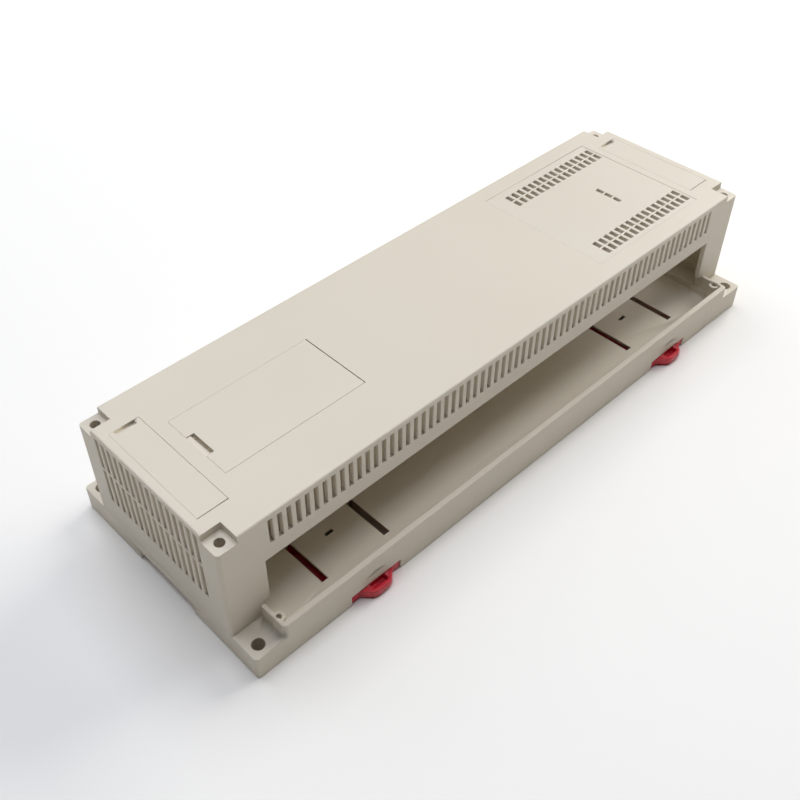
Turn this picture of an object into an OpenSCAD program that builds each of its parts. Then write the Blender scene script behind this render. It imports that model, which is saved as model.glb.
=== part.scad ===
// DIN rail enclosure: a tray that clips onto a 35 mm rail, with a vented cover that
// carries two end flaps, an access door and a snap-in vent panel.
// Millimetres. +X runs along the length, -Y is the front, +Z is up. The origin lies on
// the underside, in the middle of the four panel screw holes.

/* [Case] */
// Length of the tray and of the cover
case_l = 300; // [280:1:340]
// Depth of the tray, front to back
base_w = 110; // [106:1:130]
// Depth of the cover, front to back
cover_w = 83.4; // [78:0.2:86]
// Height from the underside to the top of the cover
case_h = 60; // [54:1:80]
// Radius on the upright corners
corner_r = 1.5; // [0.8:0.1:2]
// Radius along the top edges of the cover
top_edge_r = 0.8; // [0.3:0.1:1.2]

/* [Walls] */
// Thickness of the cover's sides
cover_wall = 2.2; // [1.8:0.1:2.6]
// Thickness of the cover's top
cover_top = 2.4; // [2.2:0.1:3]
// Thickness of the tray's outer walls
tray_wall = 2.6; // [2:0.1:3]
// Thickness of the tray's floor plate
floor_t = 3; // [2:0.1:3.2]
// Thickness of the ribs under the floor
rib_t = 1.8; // [1.2:0.1:2.4]
// Longest gap between two ribs under the floor
rib_gap = 40; // [30:1:60]

/* [Tray] */
// Height of the long walls of the tray
tray_h = 17.7; // [15:0.1:20]
// Height of the ears, and of the seat that the cover stands on
seat_h = 11.3; // [11:0.1:12.5]
// Length of each ear along the case
ear_l = 13.2; // [12:0.1:16]
// Thickness of the thin wall between an ear and the tray
ear_wall = 1.7; // [1.2:0.1:2.2]
// How far the seat steps out into the tray beyond that wall
seat_step = 0.7; // [0.4:0.1:1.5]
// How far the seat reaches in under the cover
seat_reach = 3.7; // [3:0.1:5]
// Thickness of the ears over their hollow underside
ear_t = 3; // [2:0.1:3.5]
// Diameter of the panel screw holes
panel_hole_d = 5; // [4:0.1:5.4]
// Distance of the panel screw holes from both outer faces
panel_hole_in = 5; // [4.8:0.1:6]
// Wall of the tube around a panel screw hole
panel_tube_t = 2; // [1.4:0.1:2]
// Diameter of the small strip posts beside the ears
strip_post_d = 4.8; // [4:0.1:5.4]
// Diameter of the pilot hole in a strip post
strip_pilot_d = 2.2; // [1.6:0.1:2.6]
// How far the strip posts stop below the tray walls
strip_post_drop = 0.8; // [0.4:0.1:3]
// Diameter of the board posts on the floor
board_post_d = 6; // [5:0.1:8]
// Height of the board posts above the floor
board_post_h = 5; // [3:0.5:10]
// Diameter of the pilot hole in a board post
board_pilot_d = 2.5; // [2:0.1:3]
// Distance of the outer board posts from the ends of the case
board_post_end = 40; // [30:1:60]
// Distance of the board posts from the middle, front and back
board_post_y = 15; // [12:0.5:30]

/* [Rail channel and clips] */
// Width of the rail that the channel takes
rail_w = 35; // [35:0.1:36]
// Depth of the channel under the floor plate
rail_depth = 5; // [4.8:0.1:5.5]
// Thickness of the rail's flange
rail_flange_t = 1; // [1:0.1:1.5]
// How far the hooks and clips reach under the rail's flange
hook_reach = 1.9; // [1.2:0.1:2.4]
// Distance of each clip's centre line from the end of the case
clip_end = 57; // [50:0.5:80]
// Width of the mouth in the front wall
clip_mouth_w = 25; // [22:0.5:27]
// Width of the clip over its guide flanges
clip_body_w = 34; // [32:0.5:38]
// Width of each guide flange of a clip
clip_flange_w = 2.8; // [2:0.1:3]
// Thickness of each guide flange of a clip
clip_flange_t = 1.6; // [1.2:0.1:2.4]
// Width of the clip's nose under the rail
clip_nose_w = 20; // [14:0.5:22]
// How far a clip slides out
clip_travel = 4.5; // [3.5:0.1:5]
// How far the pull tab stands out of the wall
tab_out = 4.2; // [3.5:0.1:6]
// Width of the pull tab where it leaves the wall
tab_root_w = 17; // [14:0.5:20]
// Width of the pull tab at its tip
tab_tip_w = 8; // [7:0.5:12]
// Length of the slants across the tab's tip corners
tab_corner = 1.2; // [0.4:0.1:2]
// How much thinner the tab is than the clip, above and below
tab_thin = 0.4; // [0.2:0.1:1]
// Width of the tab's slot for a screwdriver
tab_slot_w = 7.2; // [5:0.1:8]
// Width of the floor slots above the clip guides
guide_slot_w = 3; // [2:0.1:3]
// Distance of the floor slots' front ends from the front face
guide_slot_front = 11.2; // [10:0.1:14]
// Clearance round the sliding clips
slide_gap = 0.3; // [0.2:0.05:0.4]
// Distance of the stop in a clip's window from the rib beside the channel
stop_in = 9.3; // [8:0.1:12]
// Depth of the scoop in the wall above each pull tab
scoop_t = 1.2; // [0.8:0.1:1.8]
// Height of that scoop above the mouth
scoop_h = 3.2; // [2:0.1:6]
// Radius of that scoop
scoop_r = 16; // [12:0.5:24]

/* [Cover] */
// Distance of the long side openings from the ends of the case
opening_end = 18; // [17:0.5:24]
// Distance of the top of the long side openings below the cover's top
opening_drop = 21.3; // [19:0.1:24]
// Length of the corner notches along the case
notch_l = 8.6; // [7:0.1:10]
// Depth of the corner notches, front to back
notch_w = 8.9; // [7:0.1:10]
// Depth of the corner notches below the top
notch_drop = 3.1; // [2:0.1:4]
// Distance of the cover screws from both faces of the cover
cover_screw_in = 4.5; // [4:0.1:4.8]
// Diameter of the cover screw holes
cover_screw_d = 3.9; // [3:0.1:4.2]
// Diameter of the columns round the cover screws
column_d = 7.6; // [6.8:0.1:8]
// Diameter of the pilot holes that the cover screws bite into
cover_pilot_d = 2.8; // [2.2:0.1:3]

/* [Vents] */
// Width of a vent slot in the sides and ends
vent_w = 2; // [1.2:0.1:2.6]
// Spacing of the vent slots along the front and back
side_vent_pitch = 4; // [3.6:0.05:5]
// Number of vent slots along the front and back
side_vent_n = 65; // [20:1:68]
// Height of the vent slots along the front and back
side_vent_h = 11.6; // [8:0.1:13]
// Spacing of the vent slots across the ends
end_vent_pitch = 3.95; // [3.6:0.05:5]
// Number of vent slots across each end
end_vent_n = 16; // [6:1:17]
// Height of the upper slots in the ends
end_vent_top_h = 15; // [10:0.5:16]
// Height of the lower slots in the ends
end_vent_low_h = 17; // [8:0.5:18]
// Height of the bar between the upper and lower slots
end_vent_bar = 1.6; // [1:0.1:3]
// Distance of the upper slots in the ends below the top
end_vent_drop = 2.2; // [2:0.1:4]

/* [Flaps and door] */
// Thickness of the flaps, the door and the vent panel
flap_t = 2; // [1.6:0.1:2.2]
// Length of the end flaps, front to back
flap_l = 53; // [40:0.5:56]
// Width of the end flaps
flap_w = 12.7; // [10:0.1:13]
// Distance of the end flaps from the ends of the case
flap_end = 3.9; // [3.9:0.1:5]
// Length of the door along the case
door_l = 64.8; // [40:0.2:80]
// Width of the door, front to back
door_w = 34; // [24:0.5:50]
// Distance of the door from the left end of the case
door_end = 22.8; // [22:0.2:30]
// Gap round the flaps and the door
flap_gap = 0.3; // [0.2:0.05:0.5]
// Length of the notch in the door's free edge
door_notch_l = 12; // [8:0.5:16]
// Depth of that notch along the case
door_notch_w = 3.4; // [3:0.1:5]
// Width of the cover's land inside the notch
land_w = 1.3; // [0.8:0.1:1.5]
// Depth of that land below the top
land_drop = 1; // [0.6:0.1:1.6]
// Length of the nail scoops in the end flaps, along the case
nail_scoop_l = 8.8; // [6:0.1:9]
// Width of the nail scoops, front to back
nail_scoop_w = 3; // [2:0.1:5]
// Depth of the nail scoops at the flap's edge
nail_scoop_t = 0.9; // [0.6:0.1:1.2]
// Gap at the hinge edges
hinge_gap = 0.5; // [0.4:0.05:0.8]
// Radius of the hinge barrels
barrel_r = 1.5; // [1.3:0.05:1.7]
// Diameter of the hinge pins
pin_d = 1.6; // [1.2:0.1:1.8]
// Length of a hinge pin
pin_l = 1.6; // [1.2:0.1:1.9]
// Radial clearance of the hinge pins
pin_gap = 0.06; // [0.03:0.01:0.1]
// Width of the ledges under the flaps, the door and the vent panel
ledge_w = 1.6; // [1.2:0.1:2]
// Thickness of those ledges
ledge_t = 1.2; // [1:0.1:1.6]

/* [Vent panel] */
// Length of the vent panel along the case
panel_l = 70; // [68:0.5:80]
// Width of the vent panel, front to back
panel_w = 65.7; // [62:0.1:70]
// Distance of the vent panel from the right end of the case
panel_end = 21; // [20:0.5:26]
// Spacing of the grille slots along the case
grille_pitch = 3.85; // [3.2:0.05:4]
// Number of grille slots in a row
grille_n = 16; // [4:1:17]
// Width of a grille slot
grille_slot_w = 2.2; // [1.4:0.1:2.4]
// Length of a grille slot
grille_slot_l = 4.2; // [3:0.1:4.4]
// Spacing of the two rows of a grille
grille_row_pitch = 5.05; // [4.8:0.05:6]
// Distance of a grille's middle from the middle of the panel
grille_out = 25; // [20:0.5:26]
// How far the grilles stand back of the panel's middle line
grille_shift = -0.7; // [-1:0.1:1]
// Distance of the last grille slot from the right edge of the panel
grille_end = 2.5; // [2:0.1:4]
// Spacing of the three lamp slots
lamp_pitch = 4.8; // [4.4:0.1:6]
// How far the lamp slots stand back of the panel's middle line
lamp_shift = -2.8; // [-5:0.1:5]
// Distance of the lamp slots from the right edge of the panel
lamp_end = 25.7; // [20:0.1:35]
// Width of the lamp slots
lamp_w = 2; // [1.4:0.1:3]
// Length of the lamp slots
lamp_l = 4; // [2:0.1:4.2]

/* [Hidden] */

ivory = [0.85, 0.82, 0.76];
ivory_door = [0.86, 0.83, 0.77];
clip_red = [0.72, 0.12, 0.15];

e = 0.05;                                   // overshoot of the cuts
hx = case_l / 2;
hy = base_w / 2;
cy = cover_w / 2;
floor_top = rail_depth + floor_t;
seat_l = ear_l + ear_wall + seat_step;      // seat block along the case
seat_in = cy - seat_reach;                  // where the seat block ends, towards the middle
rim_gap = 0.3;                              // thin walls stop this short of the cover
channel_gap = 0.15;                         // play of the rail in its channel, each side
channel_y = rail_w / 2 + channel_gap;
rib_y = channel_y + rib_t;                  // outer face of the ribs beside the channel
screw_x = hx - cover_screw_in;
screw_y = cy - cover_screw_in;
post_x = hx - ear_l - 2.1;                  // strip posts, in the corner beside each ear
post_y = hy - tray_wall - 3.1;
panel_x = hx - panel_hole_in;
panel_y = hy - panel_hole_in;

clip_x = hx - clip_end;
bay_x = clip_body_w / 2 + slide_gap;        // half the bay between the guide webs
wall_in_y = hy - tray_wall;                 // inner face of the front wall
shoulder_y = wall_in_y - clip_travel - slide_gap;
clip_back_y = rib_y + slide_gap;
clip_z0 = 0.5;
clip_z1 = rail_depth - slide_gap;
lip_t = 1.3;                                // guide lip under a clip's flange
flange_z0 = lip_t + slide_gap;
hook_top = rail_depth - rail_flange_t - slide_gap;
mouth_h = rail_depth - 0.1;
stop_y = rib_y + stop_in;                   // back face of the stop that holds a clip
stop_z0 = clip_z0 + 0.7;                    // underside of that stop
face_y = -hy + 0.4;                         // front face of a clip's body
tab_ring = 1.8;                             // thickness of the tab in front of its slot
nose_lead = 1.2;                            // slope under the tip of a clip's nose
stop_t = 1.4;
stop_w = 4;
stop_hole_l = 1.5;

barrel_z = case_h - barrel_r;
flap_z = case_h - flap_t;
recess_z = flap_z - flap_gap;               // top of the ledges under the moving flaps
pin_r = pin_d / 2;
socket_l = pin_l + flap_gap;
lug_wall = 1.2;                             // wall of a hinge lug beside the barrel
lug_end = 1.4;                              // wall of a hinge lug beyond a pin
pin_play = 0.2;                             // room past the end of a pin
hinge_h = 2 * barrel_r + hinge_gap + lug_wall;  // depth of the hinge lugs below the top
notch_wall = 1.6;                           // wall round a corner notch, inside the cover
pilot_z0 = 1.2;                             // bottom of the cover screws' pilot holes
scoop_lead = 0.2;                           // depth of a nail scoop at its shallow edge

flap_x = hx - flap_end - flap_w / 2;        // middle of an end flap
door_x0 = -hx + door_end;
door_x1 = door_x0 + door_l;
panel_x1 = hx - panel_end;
panel_x0 = panel_x1 - panel_l;
fit_gap = 0.15;                             // gap round the fixed vent panel

// ---------------------------------------------------------------- helpers

// Copies the children into all four corners.
module at_corners() {
    for (mx = [0, 1], my = [0, 1])
        mirror([mx, 0, 0]) mirror([0, my, 0]) children();
}

// Copies the children to the front and the back.
module both_sides() {
    for (my = [0, 1]) mirror([0, my, 0]) children();
}

// Copies the children to both ends.
module both_ends() {
    for (mx = [0, 1]) mirror([mx, 0, 0]) children();
}

// A box given by its lowest and highest corners.
module span(lo, hi) {
    translate(lo) cube(hi - lo);
}

// A rectangle with round corners, centred.
module round_rect(l, w, r) {
    square([l - 2 * r, w], center = true);
    square([l, w - 2 * r], center = true);
    for (x = [-1, 1], y = [-1, 1])
        translate([x * (l / 2 - r), y * (w / 2 - r)]) circle(r, $fn = 32);
}

// A plate with round upright corners, from z0 to z1.
module round_plate(l, w, r, z0, z1) {
    translate([0, 0, z0]) linear_extrude(z1 - z0) round_rect(l, w, r);
}

// A profile drawn in Y and Z, run along X over the length l from x0.
module along_x(x0, l) {
    translate([x0, 0, 0]) rotate([90, 0, 90]) linear_extrude(l) children();
}

// A profile drawn in X and Z, run along Y over the length l, centred.
module along_y(l) {
    rotate([90, 0, 0]) linear_extrude(l, center = true) children();
}

// The outline of a wall with round top corners, from z0 to z1.
module top_rounded(w, z0, z1, r) {
    translate([-w / 2, z0]) square([w, z1 - z0 - r]);
    translate([-w / 2 + r, z0]) square([w - 2 * r, z1 - z0]);
    for (s = [-1, 1]) translate([s * (w / 2 - r), z1 - r]) circle(r, $fn = 32);
}

// ---------------------------------------------------------------- tray

// One pocket in the underside, split into cells by cross ribs.
module rib_cells(x0, x1, y0, y1) {
    n = ceil((x1 - x0) / rib_gap);
    cell = (x1 - x0 - (n - 1) * rib_t) / n;
    for (i = [0 : n - 1])
        span([x0 + i * (cell + rib_t), y0, -e], [x0 + i * (cell + rib_t) + cell, y1, rail_depth]);
}

// All the pockets between the outer walls and the ribs beside the channel.
module underside_pockets() {
    web = bay_x + rib_t;
    for (m = [0, 1]) mirror([m, 0, 0]) {
        rib_cells(rib_t / 2, clip_x - web, -wall_in_y, -rib_y);
        rib_cells(clip_x - bay_x, clip_x + bay_x, -wall_in_y, -rib_y);
        rib_cells(clip_x + web, hx - tray_wall, -wall_in_y, -rib_y);
        rib_cells(rib_t / 2, hx - tray_wall, rib_y, wall_in_y);
    }
    // the ears are hollow up to a plate
    at_corners()
        span([hx - seat_l + rib_t, seat_in + rib_t, -e],
             [hx - tray_wall, wall_in_y, seat_h - ear_t]);
}

// The channel along the underside that the rail lies in.
module rail_channel() {
    span([-hx - e, -channel_y, -e], [hx + e, channel_y, rail_depth]);
}

// The raised walls along the front and back, with their thin returns beside the ears.
module tray_rim() {
    rim_l = case_l - 2 * ear_l;
    difference() {
        round_plate(rim_l, base_w, 2, rail_depth, tray_h);
        round_plate(rim_l - 2 * ear_wall, base_w - 2 * tray_wall, 0.5, rail_depth - e, tray_h + e);
        span([-hx, -cy - rim_gap, seat_h], [hx, cy + rim_gap, tray_h + e]);
        span([-hx + seat_l, -cy, rail_depth - e], [hx - seat_l, cy, seat_h + e]);
    }
}

// The low wall across one end, which the cover's end stands on.
module end_wall() {
    span([hx - tray_wall, -cy, 0], [hx, cy, seat_h]);
}

// The guide lips under the clip's flanges, below the floor slots.
module guide_lips() {
    for (s = [-1, 1])
        span([clip_x + min(s * bay_x, s * (bay_x - guide_slot_w)), -hy + guide_slot_front, 0],
             [clip_x + max(s * bay_x, s * (bay_x - guide_slot_w)), -rib_y + e, lip_t]);
}

// The stop under the floor that runs in the clip's window.
module clip_stop() {
    span([clip_x - stop_w / 2, -stop_y - stop_t, stop_z0],
         [clip_x + stop_w / 2, -stop_y, rail_depth + e]);
}

// A fixed hook that holds the back edge of the rail, with a sloped lead-in.
module rail_hook() {
    lead = hook_reach * 0.8;
    along_x(clip_x - clip_nose_w / 2, clip_nose_w)
        polygon([[channel_y + e, 0], [channel_y - hook_reach + lead, 0],
                 [channel_y - hook_reach, lead], [channel_y - hook_reach, hook_top],
                 [channel_y + e, hook_top]]);
}

// The opening at one clip: its mouth, the way for its nose, the slots and the mould hole.
module clip_cuts() {
    mouth = clip_mouth_w / 2;
    nose = clip_nose_w / 2 + slide_gap;
    span([clip_x - mouth, -hy - e, -e], [clip_x + mouth, -wall_in_y + e, mouth_h]);
    span([clip_x - nose, -rib_y - e, -e], [clip_x + nose, -channel_y + e, rail_depth]);
    for (s = [-1, 1])
        span([clip_x + s * (bay_x - guide_slot_w / 2) - guide_slot_w / 2,
              -hy + guide_slot_front, rail_depth - e],
             [clip_x + s * (bay_x - guide_slot_w / 2) + guide_slot_w / 2,
              -rib_y, floor_top + e]);
    span([clip_x - stop_w / 2, -stop_y, rail_depth - 2 * e],
         [clip_x + stop_w / 2, -stop_y + stop_hole_l, floor_top + e]);
    // a shallow scoop in the wall above the pull tab
    translate([clip_x, -hy - scoop_r + scoop_t, mouth_h])
        rotate([atan(scoop_t / scoop_h), 0, 0])
            translate([0, 0, -scoop_h / 2]) cylinder(h = 3 * scoop_h, r = scoop_r, $fn = 64);
}

module base_tray() {
    color(ivory)
    difference() {
        union() {
            difference() {
                union() {
                    round_plate(case_l, base_w, corner_r, 0, floor_top);
                    tray_rim();
                    intersection() {
                        round_plate(case_l, base_w, corner_r, 0, seat_h);
                        at_corners() span([hx - seat_l, seat_in, 0], [hx + e, hy + e, seat_h + e]);
                    }
                    both_ends() end_wall();
                }
                underside_pockets();
                rail_channel();
            }
            at_corners() {
                translate([panel_x, panel_y, 0])
                    cylinder(h = seat_h - ear_t + e, d = panel_hole_d + 2 * panel_tube_t, $fn = 48);
                translate([screw_x, screw_y, 0]) cylinder(h = seat_h, d = column_d, $fn = 48);
                translate([post_x, post_y, rail_depth])
                    cylinder(h = tray_h - strip_post_drop - rail_depth, d = strip_post_d, $fn = 40);
            }
            board_posts();
            both_ends() {
                guide_lips();
                clip_stop();
                rail_hook();
            }
        }
        at_corners() {
            translate([panel_x, panel_y, -e]) cylinder(h = seat_h + 2 * e, d = panel_hole_d, $fn = 48);
            translate([screw_x, screw_y, pilot_z0]) cylinder(h = seat_h, d = cover_pilot_d, $fn = 32);
            translate([post_x, post_y, floor_top])
                cylinder(h = tray_h, d = strip_pilot_d, $fn = 32);
        }
        both_ends() clip_cuts();
    }
}

// Six posts on the floor that a circuit board is screwed to.
module board_posts() {
    for (x = [-1, 0, 1], y = [-1, 1])
        translate([x * (hx - board_post_end), y * board_post_y, floor_top - e])
            difference() {
                cylinder(h = board_post_h + e, d = board_post_d, $fn = 40);
                translate([0, 0, 1]) cylinder(h = board_post_h + e, d = board_pilot_d, $fn = 32);
            }
}

// ---------------------------------------------------------------- cover

// The plain outer form of the cover, with round top edges.
module cover_form() {
    intersection() {
        round_plate(case_l, cover_w, corner_r, seat_h, case_h);
        along_y(cover_w + 2) top_rounded(case_l, seat_h - 1, case_h, top_edge_r);
        along_x(-hx - 1, case_l + 2) top_rounded(cover_w, seat_h - 1, case_h, top_edge_r);
    }
}

// Thick rim under the top, round an opening of l by w.
module rim_block(l, w, drop) {
    edge = ledge_w;
    translate([-l / 2 - edge, -w / 2 - edge, case_h - drop])
        cube([l + 2 * edge, w + 2 * edge, drop - top_edge_r]);
}

// The cut for a hinged flap of l by w whose hinge runs along Y at its +X edge.
module flap_cut(l, w) {
    // the flap's own space
    span([-l / 2 - flap_gap, -w / 2 - flap_gap, recess_z],
         [l / 2 - barrel_r, w / 2 + flap_gap, case_h + 1]);
    // the window inside the ledges
    span([-l / 2 + ledge_w, -w / 2 + ledge_w, case_h - hinge_h - 2],
         [l / 2 - 2 * barrel_r - hinge_gap, w / 2 - ledge_w, case_h]);
    // the trough for the barrel, open at the top
    translate([l / 2 - barrel_r, 0, barrel_z]) {
        rotate([90, 0, 0])
            cylinder(h = w + 2 * flap_gap, r = barrel_r + hinge_gap, center = true, $fn = 48);
        translate([-barrel_r - hinge_gap, -w / 2 - flap_gap, 0])
            cube([2 * (barrel_r + hinge_gap), w + 2 * flap_gap, barrel_r + 1]);
        rotate([90, 0, 0])
            cylinder(h = w + 2 * (socket_l + pin_play), r = pin_r + pin_gap, center = true,
                     $fn = 32);
    }
}

// The thick rim and hinge lugs that a flap of l by w needs.
module flap_frame(l, w) {
    rim_block(l, w, flap_t + flap_gap + ledge_t);
    lug_y = w / 2 + socket_l + lug_end;
    translate([l / 2 - 2 * barrel_r - hinge_gap - lug_wall, -lug_y, case_h - hinge_h])
        cube([2 * (barrel_r + hinge_gap) + barrel_r + lug_wall, 2 * lug_y, hinge_h - top_edge_r]);
}

// A hinged flap of l by w with its barrel at the +X edge and a pin at each end of it.
module flap_plate(l, w) {
    span([-l / 2, -w / 2, flap_z], [l / 2 - barrel_r, w / 2, case_h]);
    translate([l / 2 - barrel_r, 0, barrel_z]) rotate([90, 0, 0]) {
        cylinder(h = w, r = barrel_r, center = true, $fn = 48);
        cylinder(h = w + 2 * (flap_gap + pin_l), r = pin_r, center = true, $fn = 32);
    }
}

// The land on the cover that fills the outer part of the door's notch.
module notch_land() {
    span([door_x0 - flap_gap - e, -door_notch_l / 2 + flap_gap, recess_z - ledge_t],
         [door_x0 + land_w, door_notch_l / 2 - flap_gap, case_h - land_drop]);
}

// Places a flap's parts: the end flaps hinge at the front, the door at its right edge.
module at_end_flap(side) {
    translate([side * flap_x, 0, 0]) rotate([0, 0, -90]) children();
}

module at_door() {
    translate([(door_x0 + door_x1) / 2, 0, 0]) children();
}

// One corner notch with the column under it.
module corner_column() {
    wall = notch_wall;
    span([hx - notch_l - wall, cy - notch_w - wall, case_h - notch_drop - wall],
         [hx - corner_r, cy - corner_r, case_h - top_edge_r]);
    translate([screw_x, screw_y, seat_h])
        cylinder(h = case_h - notch_drop - seat_h, d = column_d, $fn = 48);
}

module corner_cuts() {
    span([hx - notch_l, cy - notch_w, case_h - notch_drop], [hx + 1, cy + 1, case_h + 1]);
    translate([screw_x, screw_y, seat_h - 1]) cylinder(h = case_h, d = cover_screw_d, $fn = 40);
}

// The row of vent slots high in one long side.
module side_vents() {
    z1 = case_h - cover_top;
    for (i = [0 : side_vent_n - 1])
        translate([(i - (side_vent_n - 1) / 2) * side_vent_pitch - vent_w / 2, cy - cover_wall - e,
                   z1 - side_vent_h])
            cube([vent_w, cover_wall + 2 * e, side_vent_h]);
}

// The two tiers of vent slots in one end.
module end_vents() {
    z1 = case_h - end_vent_drop;
    z_low = z1 - end_vent_top_h - end_vent_bar;
    for (i = [0 : end_vent_n - 1])
        translate([hx - cover_wall - e,
                   (i - (end_vent_n - 1) / 2) * end_vent_pitch - vent_w / 2, 0]) {
            translate([0, 0, z1 - end_vent_top_h])
                cube([cover_wall + 2 * e, vent_w, end_vent_top_h]);
            translate([0, 0, z_low - end_vent_low_h])
                cube([cover_wall + 2 * e, vent_w, end_vent_low_h]);
        }
}

// The long opening in one side, and the step in the foot of its end posts.
module side_opening() {
    top = case_h - opening_drop;
    span([-hx + opening_end, cy - cover_wall - e, seat_h - 1], [hx - opening_end, cy + e, top]);
    both_ends()
        span([hx - opening_end - e, cy - cover_wall - e, seat_h - 1],
             [hx - seat_l + e, cy + e, tray_h + slide_gap]);
}

// The walls, the corner columns and the thick rims, before anything is cut out.
module cover_shell() {
    difference() {
        cover_form();
        span([-hx + cover_wall, -cy + cover_wall, seat_h - 1],
             [hx - cover_wall, cy - cover_wall, case_h - cover_top]);
    }
    intersection() {
        cover_form();
        union() {
            at_corners() corner_column();
            for (s = [-1, 1]) at_end_flap(s) flap_frame(flap_l, flap_w);
            at_door() flap_frame(door_l, door_w);
            translate([(panel_x0 + panel_x1) / 2, 0, 0])
                rim_block(panel_l, panel_w, flap_t + ledge_t);
        }
    }
}

module top_cover() {
    color(ivory) {
        difference() {
            cover_shell();
            at_corners() corner_cuts();
            for (s = [-1, 1]) at_end_flap(s) flap_cut(flap_l, flap_w);
            at_door() flap_cut(door_l, door_w);
            span([panel_x0 - fit_gap, -panel_w / 2 - fit_gap, flap_z],
                 [panel_x1 + fit_gap, panel_w / 2 + fit_gap, case_h + 1]);
            span([panel_x0 + ledge_w, -panel_w / 2 + ledge_w, flap_z - ledge_t - 1],
                 [panel_x1 - ledge_w, panel_w / 2 - ledge_w, case_h]);
            both_sides() {
                side_vents();
                side_opening();
            }
            both_ends() end_vents();
        }
        notch_land();
    }
}

// ---------------------------------------------------------------- pieces on the cover

module end_flap(side) {
    back = flap_l / 2;
    color(ivory_door)
    difference() {
        at_end_flap(side) flap_plate(flap_l, flap_w);
        // a nail scoop that deepens towards the free edge
        along_x(side * flap_x - nail_scoop_l / 2, nail_scoop_l)
            polygon([[back - nail_scoop_w, case_h + e], [back + 1, case_h + e],
                     [back + 1, case_h - nail_scoop_t], [back - nail_scoop_w, case_h - scoop_lead]]);
    }
}

module left_end_flap() {
    end_flap(-1);
}

module right_end_flap() {
    end_flap(1);
}

module top_door() {
    color(ivory_door)
    difference() {
        at_door() flap_plate(door_l, door_w);
        span([door_x0 - 1, -door_notch_l / 2, flap_z - 1],
             [door_x0 + door_notch_w, door_notch_l / 2, case_h + 1]);
    }
}

// The hooks under the vent panel that snap in behind its ledge.
module snap_leg() {
    leg_t = 1.2;
    leg_w = 8;
    catch = 0.6;
    tip = 2.4;
    x = panel_l / 2 - ledge_w - fit_gap;
    below = flap_z - ledge_t - fit_gap;
    along_y(leg_w)
        polygon([[x - leg_t, flap_z + e], [x, flap_z + e], [x, below],
                 [x + catch, below - catch * 2 / 3], [x - catch / 3, below - tip],
                 [x - leg_t, below - tip]]);
}

module vent_panel() {
    grille_x1 = panel_x1 - grille_end;
    color(ivory_door)
    difference() {
        union() {
            span([panel_x0, -panel_w / 2, flap_z], [panel_x1, panel_w / 2, case_h]);
            for (y = [-1, 1])
                translate([(panel_x0 + panel_x1) / 2, y * panel_w / 5, 0])
                    both_ends() snap_leg();
        }
        for (i = [0 : grille_n - 1], s = [-1, 1], r = [-0.5, 0.5])
            translate([grille_x1 - i * grille_pitch,
                       grille_shift + s * grille_out + r * grille_row_pitch, flap_z])
                cube([grille_slot_w, grille_slot_l, 3 * flap_t], center = true);
        for (i = [-1 : 1])
            translate([panel_x1 - lamp_end, lamp_shift + i * lamp_pitch, flap_z])
                cube([lamp_w, lamp_l, 3 * flap_t], center = true);
    }
}

// ---------------------------------------------------------------- clips

// The outline of a clip in plan, front at -Y.
module clip_outline() {
    mouth = clip_mouth_w / 2 - slide_gap;
    core = clip_body_w / 2 - clip_flange_w;
    polygon([[mouth, face_y], [mouth, -shoulder_y], [core, -shoulder_y],
             [core, -clip_back_y], [-core, -clip_back_y], [-core, -shoulder_y],
             [-mouth, -shoulder_y], [-mouth, face_y]]);
}

// The outline of the pull tab in plan, with slanted tip corners.
module tab_outline() {
    tip = tab_tip_w / 2;
    tip_y = -hy - tab_out;
    polygon([[-tip + tab_corner, tip_y], [tip - tab_corner, tip_y], [tip, tip_y + tab_corner],
             [tab_root_w / 2, face_y + e], [-tab_root_w / 2, face_y + e],
             [-tip, tip_y + tab_corner]]);
}

module din_clip(side) {
    reach_y = -channel_y + hook_reach;
    color(clip_red)
    translate([side * clip_x, 0, 0])
    difference() {
        union() {
            translate([0, 0, clip_z0]) linear_extrude(clip_z1 - clip_z0) clip_outline();
            translate([0, 0, clip_z0 + tab_thin])
                linear_extrude(clip_z1 - clip_z0 - 2 * tab_thin) tab_outline();
            span([-clip_body_w / 2, -shoulder_y, flange_z0],
                 [clip_body_w / 2, -clip_back_y, flange_z0 + clip_flange_t]);
            along_x(-clip_nose_w / 2, clip_nose_w)
                polygon([[-clip_back_y - e, clip_z0], [reach_y - nose_lead, clip_z0],
                         [reach_y, clip_z0 + nose_lead], [reach_y, hook_top],
                         [-clip_back_y - e, hook_top]]);
        }
        // the window that runs over the stop
        span([-stop_w / 2 - slide_gap, -stop_y - stop_t - 2 * slide_gap, 0],
             [stop_w / 2 + slide_gap, -stop_y + clip_travel + slide_gap, rail_depth]);
        // the slot that a screwdriver levers in
        span([-tab_slot_w / 2, -hy - tab_out + tab_ring, 0],
             [tab_slot_w / 2, face_y - e, rail_depth]);
    }
}

module din_clip_left() {
    din_clip(-1);
}

module din_clip_right() {
    din_clip(1);
}

base_tray();
top_cover();
vent_panel();
top_door();
left_end_flap();
right_end_flap();
din_clip_left();
din_clip_right();
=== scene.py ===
import math

import bmesh
import bpy
from mathutils import Matrix, Vector


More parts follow.
